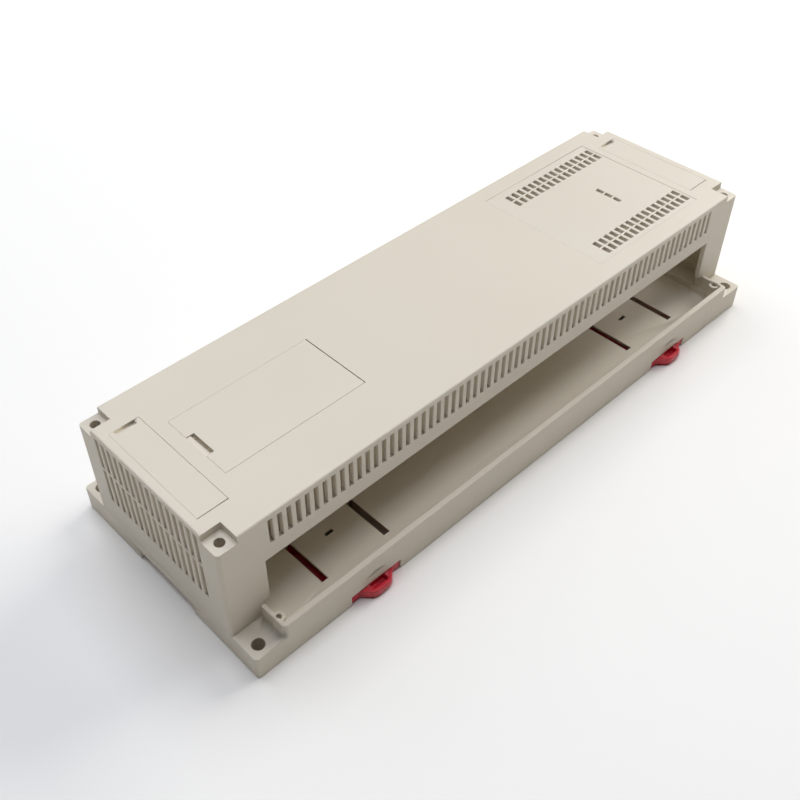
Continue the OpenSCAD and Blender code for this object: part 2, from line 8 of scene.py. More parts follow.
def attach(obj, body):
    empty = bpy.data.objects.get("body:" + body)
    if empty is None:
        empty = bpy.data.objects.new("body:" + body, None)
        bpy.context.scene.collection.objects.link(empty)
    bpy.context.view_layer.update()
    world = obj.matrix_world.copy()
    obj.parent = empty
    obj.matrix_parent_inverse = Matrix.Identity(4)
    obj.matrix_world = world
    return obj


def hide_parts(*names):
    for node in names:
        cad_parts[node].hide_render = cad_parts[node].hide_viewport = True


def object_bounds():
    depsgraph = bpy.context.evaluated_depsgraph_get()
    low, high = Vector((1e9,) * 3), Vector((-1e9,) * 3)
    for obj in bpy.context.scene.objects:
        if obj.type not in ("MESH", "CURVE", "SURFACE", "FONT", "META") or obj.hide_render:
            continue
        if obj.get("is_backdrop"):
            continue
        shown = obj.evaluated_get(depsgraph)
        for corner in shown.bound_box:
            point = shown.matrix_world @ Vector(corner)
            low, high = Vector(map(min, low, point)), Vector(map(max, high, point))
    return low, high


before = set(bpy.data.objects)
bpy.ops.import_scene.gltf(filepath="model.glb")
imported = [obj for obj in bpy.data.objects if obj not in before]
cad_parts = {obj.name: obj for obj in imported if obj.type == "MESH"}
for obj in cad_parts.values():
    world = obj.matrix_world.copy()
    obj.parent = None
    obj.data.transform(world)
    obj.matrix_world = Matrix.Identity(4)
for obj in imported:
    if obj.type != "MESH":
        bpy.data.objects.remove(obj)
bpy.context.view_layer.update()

# Sizes are in millimetres, apart from those of the floor and the lights, in the frame of
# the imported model: +X along the length, -Y the front, +Z up, origin on the underside in
# the middle.
MM = 0.001

# ---------------------------------------------------------------- sizes

OVER = 1.0    # how far a cut reaches past the face that it opens
LAP = 0.05    # how far two joined shapes reach into each other
TOUCH = 0.01  # how close two heights are to count as one
MID = 0.3     # where the middle step of a small rounding lies, as a part of its radius

# The case as a whole, the cover's walls, the tray with its ears and seats, the screws
HALF_L, HALF_W, HALF_COVER = 150.0, 55.0, 41.7
CASE_H, SEAT_H, FLOOR_TOP, RAIL_DEPTH = 60.0, 11.3, 8.0, 5.0
CORNER_R, TOP_EDGE_R = 1.5, 0.8
COVER_WALL, COVER_TOP, TRAY_WALL, RIB = 2.2, 2.4, 2.6, 1.8
TRAY_H, EAR_L, EAR_WALL, SEAT_STEP, SEAT_REACH = 17.7, 13.2, 1.7, 0.7, 3.7
SEAT_X = HALF_L - EAR_L - EAR_WALL - SEAT_STEP
SEAT_Y = HALF_COVER - SEAT_REACH
PANEL_SCREW = (145.0, 50.0)
COVER_SCREW = (145.5, 37.2)
STRIP_POST = (134.7, 49.3)
COLUMN_D = 7.6
CHANNEL_Y = 17.65
RIB_Y = CHANNEL_Y + RIB
INNER_Y = HALF_W - TRAY_WALL

# The tray's ways for the clips: mouths, bays, floor slots, stops and hooks
CLIP_X, MOUTH_W, MOUTH_H = 93.0, 25.0, 4.9
BAY_X, SLOT_W, SLOT_FRONT, UNDERCUT, SKIN = 17.3, 3.0, 43.8, 1.2, 1.0
SLOT_END, LIP_SKIN = 0.3, 0.2   # what the undercut leaves at a slot's ends and over its lip
STOP_Y, STOP_T, STOP_W, STOP_RISE = RIB_Y + 9.3, 1.4, 4.0, 0.7
CLIP_Z0, CLIP_Z1, HOOK_TOP, LIP_T = 0.5, 4.7, 3.7, 1.3
SLIDE_GAP = 0.3
SHOULDER_Y, CLIP_BACK = 47.6, RIB_Y + SLIDE_GAP
HOOK_LEAD, NOSE_LEAD = 0.8, 1.2   # slope of the hooks, as a part of their reach, and of the noses

# The cover's corner notches, long openings and vents
NOTCH_L, NOTCH_W, NOTCH_DROP = 8.6, 8.9, 3.1
OPEN_X, OPEN_TOP = 132.0, 38.7
NOTCH_WALL, COVER_BORE_R, COLUMN_END = 1.6, 1.95, 0.5
VENT_W = 2.0
SIDE_VENTS, SIDE_PITCH, SIDE_VENT_H = 65, 4.0, 11.6
END_VENTS, END_PITCH, END_TOP_H, END_LOW_H, END_BAR = 16, 3.95, 15.0, 17.0, 1.6
END_VENT_TOP = CASE_H - 2.2

# The hinged plates with their lugs, the door's notch, and the vent panel
PLATE_T, LEDGE_W, LEDGE_T = 2.0, 1.6, 1.2
BARREL_R, PIN_R, PIN_L, PIN_GAP = 1.5, 0.8, 1.6, 0.06
BARREL_ROOM, LUG_WALL, PIN_WALL, SOCKET_END = 0.5, 1.2, 1.4, 0.5
LUG_H = 2 * BARREL_R + BARREL_ROOM + LUG_WALL
PLATE_ROOM = 0.3     # room under a hinged plate, at its pins and behind its lugs
HINGE_ROUND = 0.25   # radius on a plate's top edge above its hinge
HINGE_GAP = 0.32     # gap beside that edge, wide enough for the plate to lean back by 10 degrees
TROUGH_R = 2.08      # what that edge needs to swing round in
LIP_ROUND = 0.7      # radius on the lips round the plates, as a part of the smallest gap
# Gaps of a hinged plate at its free edge, its -Y edge and its +Y edge, as it is drawn
LEFT_FLAP_GAPS, RIGHT_FLAP_GAPS = (0.1, 0.05, 0.12), (0.06, 0.06, 0.06)
DOOR_GAPS = (0.08, 0.14, 0.04)
FLAP_L, FLAP_W, FLAP_X = 53.0, 12.7, 139.75
DOOR_X0, DOOR_X1, DOOR_W = -127.2, -62.4, 34.0
DOOR_NOTCH_L, DOOR_NOTCH_W, LAND_W, LAND_DROP = 12.0, 3.4, 1.8, 0.2
LAND_END, LAND_ROOT, SHELF_REACH, SHELF_T, SHELF_EDGE = 0.2, 0.6, 0.8, 0.7, 0.15
PANEL_X0, PANEL_X1, PANEL_W = 59.0, 129.0, 65.7
PANEL_GAP_LOW, PANEL_GAP_X, PANEL_GAP_Y, PANEL_LIP = 0.03, 0.22, 0.2, 0.03
GRILLE_N, GRILLE_PITCH, GRILLE_SLOT, GRILLE_OUT = 16, 3.85, (2.2, 4.2), 25.0
GRILLE_SHIFT, GRILLE_ROW_PITCH, GRILLE_X1 = -0.7, 5.05, 126.5
LAMP_X, LAMP_SHIFT, LAMP_PITCH, LAMP_SLOT = 103.3, -2.8, 4.8, (2.0, 4.0)

# Edges, small fits and the panel's snap legs
EDGE = 0.16             # radius on the cover's edges
SIDE_VENT_EDGE = 0.26   # radius on the edges of its side slots
END_VENT_EDGE = 0.38    # radius on the edges of its end slots
GRILLE_EDGE = 0.26      # radius on the edges of the slots in the vent panel
PLATE_EDGE = 0.08       # radius on the edges of the plates in the cover's top
TRAY_EDGE, WALL_EDGE = 0.3, 0.35      # radii on the edges of the tray and of its raised walls
TAB_EDGE, CLIP_EDGE = 0.4, 0.25       # radii on the edges of the pull tabs and of the clips
POST_EDGE, BORE_EDGE = 0.3, 0.2       # radii on the tops of posts and on the mouths of bores
STRIP_BORE_EDGE, FLOOR_SLOT_EDGE = 0.08, 0.15
MOUTH_EDGE, MOUTH_BEND = 0.25, (0.1, 0.08)   # flare of the clips' mouths and its middle step
RECESS_Z = CASE_H - PLATE_T - PLATE_ROOM
PIN_REACH = PIN_L + PLATE_ROOM
SNAP_T, SNAP_W, SNAP_CATCH, SNAP_TIP = 1.2, 8.0, 0.6, 2.4
SNAP_FLAT, SNAP_SLOPE, FIT_GAP = 0.4, 0.2, 0.15

# The flaps' nail scoops
NAIL_SCOOP_L, NAIL_SCOOP_W, NAIL_SCOOP_T = 8.8, 2.3, 1.3

# The clips with their pull tabs, and the scoop in the wall above each
CLIP_HALF, CLIP_FLANGE, NOSE_HALF, HOOK_REACH = 17.0, 2.8, 10.0, 1.9
FLANGE_Z, FLANGE_T, CLIP_TRAVEL = 1.6, 1.6, 4.5
HOLLOW_IN, HOLLOW_RIM, HOLLOW_END, HOLLOW_FLOOR = 2.2, 0.8, 2.0, 0.6
CLIP_FACE = -HALF_W + 0.4
TAB_OUT, TAB_ROOT, TAB_TIP, TAB_THIN = 4.2, 17.0, 8.0, 0.4
TAB_SLOT, TAB_RING, TAB_ROUND, TAB_WEB = 7.2, 1.8, 1.7, 0.9
SCOOP_T, SCOOP_H, SCOOP_R = 1.2, 3.2, 16.0

# The tray's posts, ribs and bores
BOARD_POST_X, BOARD_POST_Y, BOARD_POST_D, BOARD_POST_H, BOARD_PILOT_D = 110.0, 15.0, 6.0, 5.0, 2.5
BOARD_PILOT_Z = 1.0   # where the pilot holes in the board posts end, above the floor
RIB_GAP, EAR_HOLLOW, TUBE_R, STRIP_POST_R, STRIP_DROP = 40.0, 8.3, 4.5, 2.4, 0.8
RIM_GAP = 0.3         # thin walls stop this short of the cover
WALL_ROUND, WALL_ROUND_IN = 2.0, 0.5
PANEL_BORE_R, COVER_PILOT_R, PILOT_Z, STRIP_PILOT_R, STOP_HOLE = 2.5, 1.4, 1.2, 1.1, 1.5

# The floor, in metres: it lies just under the case, and glows from GLOW_FROM outwards
FLOOR_HALF, FLOOR_Z = 15.0, -0.0002
GLOW_FROM, GLOW_FULL, GLOW = 0.3, 1.4, 0.9

# The camera: its focal length for a picture 800 wide, and its place in millimetres
FOCAL, PICTURE, SENSOR = 1018.22, 800, 36.0
CAMERA_PLACE = (-246.499, -222.512, 319.047)
CAMERA_FORWARD, CAMERA_RIGHT = (0.48988, 0.53086, -0.69152), (0.72706, -0.68647, -0.01193)

# The lights: name, place and size in metres, power in watts, colour
COOL, WARM = (0.955, 1.0, 1.10), (1.0, 0.985, 0.94)
LIGHTS = [
    ("light over the case", (0.0, 0.15, 1.3), (1.3, 1.3), 13.8, COOL),
    ("light behind the case", (-0.1, 1.15, 1.0), (1.4, 1.0), 5.5, COOL),
    ("light at the right", (1.6, 0.0, 0.86), (1.25, 1.0), 23.0, WARM),
]
ROOM_LIGHT = 0.01

SIGNS = (-1, 1)
CORNERS = [(sx, sy) for sx in SIGNS for sy in SIGNS]

# ---------------------------------------------------------------- shapes


def solid(name, bm, place=None):
    """Turns a mesh drawn in millimetres into an object, its faces pointing outwards."""
    bmesh.ops.recalc_face_normals(bm, faces=bm.faces)
    mesh = bpy.data.meshes.new(name)
    bm.to_mesh(mesh)
    bm.free()
    if place is not None:
        mesh.transform(place)
    obj = bpy.data.objects.new(name, mesh)
    bpy.context.scene.collection.objects.link(obj)
    return obj


def loft(sections, axis="Z", place=None):
    """A closed solid through outlines that lie at steps along an axis, in the other two axes."""
    def point(a, b, c):
        return {"Z": (a, b, c), "X": (c, a, b), "Y": (a, c, b)}[axis]
    bm = bmesh.new()
    rings = [[bm.verts.new(point(a, b, c)) for a, b in outline] for c, outline in sections]
    bm.faces.new(rings[0])
    bm.faces.new(rings[-1])
    for low, high in zip(rings, rings[1:]):
        for i in range(len(low)):
            j = (i + 1) % len(low)
            bm.faces.new((low[i], low[j], high[j], high[i]))
    return solid("shape", bm, place)


def prism(outline, low, high, axis="Z", place=None):
    """An outline run along an axis from low to high."""
    return loft([(low, outline), (high, outline)], axis, place)


def rect(x0, y0, x1, y1, grow=0.0):
    return [(x0 - grow, y0 - grow), (x1 + grow, y0 - grow), (x1 + grow, y1 + grow),
            (x0 - grow, y1 + grow)]


def box(low, high, place=None):
    return prism(rect(low[0], low[1], high[0], high[1]), low[2], high[2], place=place)


def circle(centre, radius, sides=48):
    return [(centre[0] + radius * math.cos(2 * math.pi * i / sides),
             centre[1] + radius * math.sin(2 * math.pi * i / sides)) for i in range(sides)]


def rod(centre, radius, low, high, axis="Z", sides=48, place=None):
    return prism(circle(centre, radius, sides), low, high, axis, place)


def turned(centre, profile, sides=48):
    """A solid turned about an upright axis, from (height, radius) pairs."""
    return loft([(z, circle(centre, radius, sides)) for z, radius in profile])


def mouth(low, high, edge, place=None):
    """The space of a box whose mouth, at its top, has round edges."""
    steps = [(low[2], 0), (high[2] - edge, 0), (high[2] - MID * edge, MID * edge),
             (high[2], edge), (high[2] + OVER, edge)]
    return loft([(z, rect(low[0], low[1], high[0], high[1], grow)) for z, grow in steps],
                place=place)


def slot(size, wall, edge, axis="Z"):
    """The space of a slot through a wall, with round edges at both of its mouths."""
    a, b, half = size[0] / 2, size[1] / 2, wall / 2
    steps = [(half + OVER, edge), (half, edge), (half - MID * edge, MID * edge), (half - edge, 0)]
    steps = [(-z, grow) for z, grow in steps] + [(z, grow) for z, grow in reversed(steps)]
    return loft([(z, rect(-a, -b, a, b, grow)) for z, grow in steps], axis)


def round_end(radius, low, high, edge):
    """The profile of a post with a round edge at its top."""
    return [(low, radius), (high - edge, radius), (high - MID * edge, radius - MID * edge),
            (high, radius - edge)]


def flared(radius, low, high, edge):
    """The profile of a bore whose mouth, at the height given, has a round edge."""
    return [(low, radius), (high - edge, radius), (high - MID * edge, radius + MID * edge),
            (high, radius + edge), (high + OVER, radius + edge)]


def round_rect(half_x, half_y, radius, steps=6):
    """The outline of a rectangle with round corners."""
    points = []
    for k, (sx, sy) in enumerate([(1, 1), (-1, 1), (-1, -1), (1, -1)]):
        for i in range(steps + 1):
            a = math.pi / 2 * (k + i / steps)
            points.append((sx * (half_x - radius) + radius * math.cos(a),
                           sy * (half_y - radius) + radius * math.sin(a)))
    return points


def mirrored(low, high, sx, sy):
    """A box given in the +X +Y quarter of the case, moved to the quarter that the signs name."""
    xs = sorted((low[0] * sx, high[0] * sx))
    ys = sorted((low[1] * sy, high[1] * sy))
    return box((xs[0], ys[0], low[2]), (xs[1], ys[1], high[2]))


def mesh_of(obj):
    """The object's mesh with its modifiers applied."""
    graph = bpy.context.evaluated_depsgraph_get()
    graph.update()
    return bpy.data.meshes.new_from_object(obj.evaluated_get(graph), depsgraph=graph)


def bake(obj):
    """Applies the modifiers of an object to its mesh."""
    mesh = mesh_of(obj)
    old = obj.data
    obj.modifiers.clear()
    obj.data = mesh
    bpy.data.meshes.remove(old)
    return obj


def combine(base, tools, how):
    """Joins the tools to the base, or cuts them out of it, one after the other."""
    for tool in tools:
        joint = base.modifiers.new(how, "BOOLEAN")
        joint.operation, joint.solver, joint.object = how, "MANIFOLD", tool
    bake(base)
    for tool in tools:
        mesh = tool.data
        bpy.data.objects.remove(tool)
        bpy.data.meshes.remove(mesh)
    return base


def add(base, *tools):
    return combine(base, tools, "UNION")


def cut(base, *tools):
    return combine(base, tools, "DIFFERENCE")


# ---------------------------------------------------------------- rows of equal shapes


def row_tree(name, how):
    """A row of copies of one shape, on a line of points, joined to a mesh or cut out of it."""
    tree = bpy.data.node_groups.new(name, "GeometryNodeTree")
    for label, kind in (("Body", "Geometry"), ("Shape", "Object"), ("Count", "Int"),
                        ("First", "Vector"), ("Step", "Vector"), ("Plastic", "Material")):
        tree.interface.new_socket(label, in_out="INPUT", socket_type="NodeSocket" + kind)
    tree.interface.new_socket("Body", in_out="OUTPUT", socket_type="NodeSocketGeometry")
    make, link = tree.nodes.new, tree.links.new
    given = make("NodeGroupInput")
    shape = make("GeometryNodeObjectInfo")
    line = make("GeometryNodeMeshLine")
    copies = make("GeometryNodeInstanceOnPoints")
    real = make("GeometryNodeRealizeInstances")
    joined = make("GeometryNodeMeshBoolean")
    joined.operation, joined.solver = how, "MANIFOLD"
    whole = make("GeometryNodeRealizeInstances")
    paint = make("GeometryNodeSetMaterial")
    out = make("NodeGroupOutput")
    link(given.outputs["Shape"], shape.inputs["Object"])
    link(given.outputs["Count"], line.inputs["Count"])
    link(given.outputs["First"], line.inputs["Start Location"])
    link(given.outputs["Step"], line.inputs["Offset"])
    link(line.outputs["Mesh"], copies.inputs["Points"])
    link(shape.outputs["Geometry"], copies.inputs["Instance"])
    link(copies.outputs["Instances"], real.inputs["Geometry"])
    link(given.outputs["Body"], joined.inputs["Mesh 1" if how == "DIFFERENCE" else "Mesh 2"])
    link(real.outputs["Geometry"], joined.inputs["Mesh 2"])
    link(joined.outputs["Mesh"], whole.inputs["Geometry"])
    link(whole.outputs["Geometry"], paint.inputs["Geometry"])
    link(given.outputs["Plastic"], paint.inputs["Material"])
    link(paint.outputs["Geometry"], out.inputs["Body"])
    return tree


def add_rows(obj, how, plastic, rows):
    """Runs rows of shapes along an object. A row is its shape, count, first place and step."""
    for shape, count, first, step in rows:
        layer = obj.modifiers.new("row", "NODES")
        layer.node_group = ROWS[how]
        values = {"Shape": shape, "Count": count, "First": first, "Step": step,
                  "Plastic": plastic}
        for item in layer.node_group.interface.items_tree:
            if item.in_out == "INPUT" and item.name in values:
                layer[item.identifier] = values[item.name]
    bake(obj)
    for shape in {line[0] for line in rows}:
        mesh = shape.data
        bpy.data.objects.remove(shape)
        bpy.data.meshes.remove(mesh)
    return obj


# ---------------------------------------------------------------- finish of a piece


def clean(bm, gap):
    """Merges points that lie closer than the gap, and what that leaves without an area."""
    bmesh.ops.remove_doubles(bm, verts=bm.verts, dist=gap)
    bmesh.ops.dissolve_degenerate(bm, edges=bm.edges, dist=gap)


def soften(obj, edge, min_angle=33):
    """Rounds the edges of a shape, in millimetres."""
    bm = bmesh.new()
    bm.from_mesh(obj.data)
    clean(bm, 0.002)
    bmesh.ops.dissolve_limit(bm, angle_limit=math.radians(0.3), verts=bm.verts, edges=bm.edges)
    bm.to_mesh(obj.data)
    bm.free()
    rounder = obj.modifiers.new("edges", "BEVEL")
    rounder.width, rounder.segments = edge, 2
    rounder.limit_method, rounder.angle_limit = "ANGLE", math.radians(min_angle)
    rounder.use_clamp_overlap = False
    rounder.loop_slide = False
    return bake(obj)


def finish(obj, plastic):
    """Turns a shape into a finished mesh in metres, with soft normals and its plastic."""
    bm = bmesh.new()
    bm.from_mesh(obj.data)
    clean(bm, 0.0005)
    bmesh.ops.triangulate(bm, faces=bm.faces)
    for f in bm.faces:
        f.smooth = True
    bmesh.ops.transform(bm, matrix=Matrix.Scale(MM, 4), verts=bm.verts)
    bm.to_mesh(obj.data)
    bm.free()
    obj.data.materials.clear()
    obj.data.materials.append(plastic)
    normals = obj.modifiers.new("normals", "WEIGHTED_NORMAL")
    normals.keep_sharp = True
    normals.weight = 100
    return bake(obj)


def hand_over(obj, name, body, node):
    """Names a finished piece, ties it to its body and hides the CAD node that it replaces."""
    obj.name = obj.data.name = name
    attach(obj, body)
    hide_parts(node)
    return obj


# ---------------------------------------------------------------- cover


def flap_place(side):
    """The turn and place of an end flap: drawn with its hinge at +X, it hinges at the front."""
    return Matrix.Translation((side * FLAP_X, 0, 0)) @ Matrix.Rotation(-math.pi / 2, 4, "Z")


DOOR_PLACE = Matrix.Translation(((DOOR_X0 + DOOR_X1) / 2, 0, 0))
DOOR_L = DOOR_X1 - DOOR_X0


def flap_frame(length, width, place):
    """The thick rim round a flap's window, and the lugs that its hinge turns in."""
    x, y = length / 2 + LEDGE_W, width / 2 + LEDGE_W
    lug_y = width / 2 + PIN_REACH + PIN_WALL
    lug_x = length / 2 - 2 * BARREL_R - BARREL_ROOM - LUG_WALL
    lug_end = lug_x + 2 * (BARREL_R + BARREL_ROOM + LUG_WALL) + PLATE_ROOM
    return [box((-x, -y, RECESS_Z - LEDGE_T), (x, y, CASE_H - TOP_EDGE_R), place),
            box((lug_x, -lug_y, CASE_H - LUG_H), (lug_end, lug_y, CASE_H - TOP_EDGE_R), place)]


def flap_cuts(length, width, place, gaps):
    """The space of a hinged flap, the window inside its ledges, and its hinge trough.

    The gaps are those at the free edge, the -Y edge and the +Y edge.
    """
    x, y = length / 2, width / 2
    free, low, high = gaps
    axis_x, axis_z = x - BARREL_R, CASE_H - BARREL_R
    edge = LIP_ROUND * min(gaps)
    socket = PIN_L + SOCKET_END
    return [
        mouth((-x - free, -y - low, axis_z), (x + HINGE_GAP, y + high, CASE_H), edge, place),
        box((-x - free, -y - low, RECESS_Z), (axis_x, y + high, CASE_H - OVER), place),
        box((-x + LEDGE_W, -y + LEDGE_W, CASE_H - LUG_H - 2 * OVER),
            (x - 2 * BARREL_R - BARREL_ROOM, y - LEDGE_W, CASE_H - OVER), place),
        rod((axis_x, axis_z), TROUGH_R, -y - low, y + high, "Y", place=place),
        rod((axis_x, axis_z), PIN_R + PIN_GAP, -y - socket, y + socket, "Y", 32, place),
    ]


def shell():
    """The outside of the cover: walls, top, corner notches and the long openings."""
    body = prism(round_rect(HALF_L, HALF_COVER, CORNER_R), SEAT_H, CASE_H)
    bm = bmesh.new()
    bm.from_mesh(body.data)
    rim = [e for e in bm.edges if all(v.co.z > CASE_H - TOUCH for v in e.verts)]
    bmesh.ops.bevel(bm, geom=rim, offset=TOP_EDGE_R, segments=4, profile=0.5, affect="EDGES")
    bm.to_mesh(body.data)
    bm.free()
    cut(body, box((-HALF_L + COVER_WALL, -HALF_COVER + COVER_WALL, SEAT_H - OVER),
                  (HALF_L - COVER_WALL, HALF_COVER - COVER_WALL, CASE_H - COVER_TOP)))
    blocks = [mirrored((HALF_L - NOTCH_L - NOTCH_WALL, HALF_COVER - NOTCH_W - NOTCH_WALL,
                        CASE_H - NOTCH_DROP - NOTCH_WALL),
                       (HALF_L - CORNER_R, HALF_COVER - CORNER_R, CASE_H - TOP_EDGE_R), sx, sy)
              for sx, sy in CORNERS]
    add(body, *blocks)
    cuts = [mirrored((HALF_L - NOTCH_L, HALF_COVER - NOTCH_W, CASE_H - NOTCH_DROP),
                     (HALF_L + OVER, HALF_COVER + OVER, CASE_H + OVER), sx, sy)
            for sx, sy in CORNERS]
    inside, outside = HALF_COVER - COVER_WALL - 2 * LAP, HALF_COVER + 2 * LAP
    for sy in SIGNS:
        cuts.append(mirrored((-OPEN_X, inside, SEAT_H - OVER), (OPEN_X, outside, OPEN_TOP), 1, sy))
        cuts += [mirrored((OPEN_X - 2 * LAP, inside, SEAT_H - OVER),
                          (SEAT_X, outside, TRAY_H + RIM_GAP), sx, sy) for sx in SIGNS]
    cut(body, *cuts)
    return soften(body, EDGE)


def notch_land():
    """The land in the door's notch, and the shelf under the notch."""
    low = RECESS_Z - LEDGE_T + 2 * LAP
    back, front = DOOR_X0 - LAND_ROOT, DOOR_X0 + DOOR_NOTCH_W + SHELF_REACH
    outline = [(back, low), (front, low), (front, low + SHELF_T),
               (DOOR_X0 + LAND_W, low + SHELF_T), (DOOR_X0 + LAND_W, CASE_H - LAND_DROP),
               (back, CASE_H - LAND_DROP)]
    half = DOOR_NOTCH_L / 2 - LAND_END
    return soften(prism(outline, -half, half, "Y"), SHELF_EDGE)


def cover(plastic):
    """The cover: its walls, columns, plate frames and recess, and its rows of vents."""
    body = shell()
    y = PANEL_W / 2
    parts = [rod((sx * COVER_SCREW[0], sy * COVER_SCREW[1]), COLUMN_D / 2, SEAT_H,
                 CASE_H - NOTCH_DROP - COLUMN_END) for sx, sy in CORNERS]
    for side in SIGNS:
        parts += flap_frame(FLAP_L, FLAP_W, flap_place(side))
    parts += flap_frame(DOOR_L, DOOR_W, DOOR_PLACE)
    parts.append(box((PANEL_X0 - LEDGE_W, -y - LEDGE_W, CASE_H - PLATE_T - LEDGE_T),
                     (PANEL_X1 + LEDGE_W, y + LEDGE_W, CASE_H - TOP_EDGE_R)))
    add(body, *parts)

    cuts = [turned((sx * COVER_SCREW[0], sy * COVER_SCREW[1]),
                   flared(COVER_BORE_R, SEAT_H - OVER, CASE_H - NOTCH_DROP, BORE_EDGE))
            for sx, sy in CORNERS]
    cuts += flap_cuts(FLAP_L, FLAP_W, flap_place(-1), LEFT_FLAP_GAPS)
    cuts += flap_cuts(FLAP_L, FLAP_W, flap_place(1), RIGHT_FLAP_GAPS)
    cuts += flap_cuts(DOOR_L, DOOR_W, DOOR_PLACE, DOOR_GAPS)
    cuts.append(mouth((PANEL_X0 - PANEL_GAP_LOW, -y - PANEL_GAP_LOW, CASE_H - PLATE_T),
                      (PANEL_X1 + PANEL_GAP_X, y + PANEL_GAP_Y, CASE_H), PANEL_LIP))
    cuts.append(box((PANEL_X0 + LEDGE_W, -y + LEDGE_W, CASE_H - PLATE_T - LEDGE_T - OVER),
                    (PANEL_X1 - LEDGE_W, y - LEDGE_W, CASE_H)))
    cut(body, *cuts)
    add(body, notch_land())

    rows = []
    for sy in SIGNS:
        rows.append((slot((VENT_W, SIDE_VENT_H), COVER_WALL, SIDE_VENT_EDGE, "Y"), SIDE_VENTS,
                     (-(SIDE_VENTS - 1) / 2 * SIDE_PITCH, sy * (HALF_COVER - COVER_WALL / 2),
                      CASE_H - COVER_TOP - SIDE_VENT_H / 2), (SIDE_PITCH, 0, 0)))
    for sx in SIGNS:
        for high, z in ((END_TOP_H, END_VENT_TOP - END_TOP_H / 2),
                        (END_LOW_H, END_VENT_TOP - END_TOP_H - END_BAR - END_LOW_H / 2)):
            rows.append((slot((VENT_W, high), COVER_WALL, END_VENT_EDGE, "X"), END_VENTS,
                         (sx * (HALF_L - COVER_WALL / 2), -(END_VENTS - 1) / 2 * END_PITCH, z),
                         (0, END_PITCH, 0)))
    add_rows(body, "DIFFERENCE", plastic, rows)
    return finish(body, plastic)


# ---------------------------------------------------------------- tray


def raised_walls():
    """The raised long walls, with thin returns beside the ears that end at the cover."""
    x = HALF_L - EAR_L
    walls = prism(round_rect(x, HALF_W, WALL_ROUND), RAIL_DEPTH + OVER, TRAY_H)
    end = HALF_COVER + RIM_GAP
    cut(walls, prism(round_rect(x - EAR_WALL, INNER_Y, WALL_ROUND_IN), 0, TRAY_H + OVER),
        box((-HALF_L, -end, 0), (HALF_L, end, TRAY_H + OVER)))
    return soften(walls, WALL_EDGE)


def seats():
    """The ears' blocks, which reach in under the cover's corners, and the low cross walls."""
    blocks = prism(round_rect(HALF_L, HALF_W, CORNER_R), 0, SEAT_H)
    wide, long, high = HALF_W + OVER, HALF_L + OVER, SEAT_H + OVER
    cut(blocks, box((-SEAT_X, -wide, -OVER), (SEAT_X, wide, high)),
        box((-long, -SEAT_Y, -OVER), (long, SEAT_Y, high)))
    ends = [mirrored((HALF_L - TRAY_WALL, -HALF_COVER, 0), (HALF_L, HALF_COVER, SEAT_H), sx, 1)
            for sx in SIGNS]
    cross = [mirrored((HALF_L - EAR_L - EAR_WALL, -HALF_COVER, RAIL_DEPTH),
                      (HALF_L - EAR_L, HALF_COVER, SEAT_H), sx, 1) for sx in SIGNS]
    return [blocks] + ends + cross


def pocket(low_x, high_x, low_y, high_y):
    """One pocket in the underside and its mirror image, as rows of cells between cross ribs."""
    cells = math.ceil((high_x - low_x) / RIB_GAP)
    half = (high_x - low_x - (cells - 1) * RIB) / cells / 2
    width = (high_y - low_y) / 2
    return [(box((-half, -width, -OVER), (half, width, RAIL_DEPTH)), cells,
             (side * (low_x + half), low_y + width, 0), (side * (2 * half + RIB), 0, 0))
            for side in SIGNS]


def underside(body, plastic):
    """The pockets in the underside, the hollows in the ears and the channel for the rail."""
    web = BAY_X + RIB
    rows = pocket(RIB / 2, HALF_L - TRAY_WALL, RIB_Y, INNER_Y)
    for low_x, high_x in ((RIB / 2, CLIP_X - web), (CLIP_X - BAY_X, CLIP_X + BAY_X),
                          (CLIP_X + web, HALF_L - TRAY_WALL)):
        rows += pocket(low_x, high_x, -INNER_Y, -RIB_Y)
    add_rows(body, "DIFFERENCE", plastic, rows)
    hollows = [mirrored((SEAT_X + RIB, SEAT_Y + RIB, -OVER),
                        (HALF_L - TRAY_WALL, INNER_Y, EAR_HOLLOW), sx, sy) for sx, sy in CORNERS]
    channel = box((-HALF_L - OVER, -CHANNEL_Y, -OVER), (HALF_L + OVER, CHANNEL_Y, RAIL_DEPTH))
    return cut(body, channel, *hollows)


def corner_posts():
    """The tubes round the panel screws, the columns under the cover and the strip posts."""
    posts = []
    for sx, sy in CORNERS:
        posts.append(rod((sx * PANEL_SCREW[0], sy * PANEL_SCREW[1]), TUBE_R, 0, EAR_HOLLOW + LAP))
        posts.append(rod((sx * COVER_SCREW[0], sy * COVER_SCREW[1]), COLUMN_D / 2, 0, SEAT_H))
        posts.append(turned((sx * STRIP_POST[0], sy * STRIP_POST[1]), round_end(
            STRIP_POST_R, RAIL_DEPTH + OVER, TRAY_H - STRIP_DROP, POST_EDGE)))
    return posts


def corner_bores():
    """The bores for the panel, cover and strip screws, a little wider at their mouths."""
    bores = []
    for sx, sy in CORNERS:
        for place, radius, low, high, edge in (
                (PANEL_SCREW, PANEL_BORE_R, -OVER, SEAT_H, BORE_EDGE),
                (COVER_SCREW, COVER_PILOT_R, PILOT_Z, SEAT_H, BORE_EDGE),
                (STRIP_POST, STRIP_PILOT_R, FLOOR_TOP, TRAY_H - STRIP_DROP, STRIP_BORE_EDGE)):
            bores.append(turned((sx * place[0], sy * place[1]), flared(radius, low, high, edge)))
    return bores


def front_scoop(side):
    """The shape of the shallow scoop in the front wall above a clip's tab."""
    lean = Matrix.Translation((side * CLIP_X, -HALF_W - SCOOP_R + SCOOP_T, MOUTH_H))
    lean = lean @ Matrix.Rotation(math.atan(SCOOP_T / SCOOP_H), 4, "X")
    return rod((0, 0), SCOOP_R, -SCOOP_H / 2, 2.5 * SCOOP_H, sides=128, place=lean)


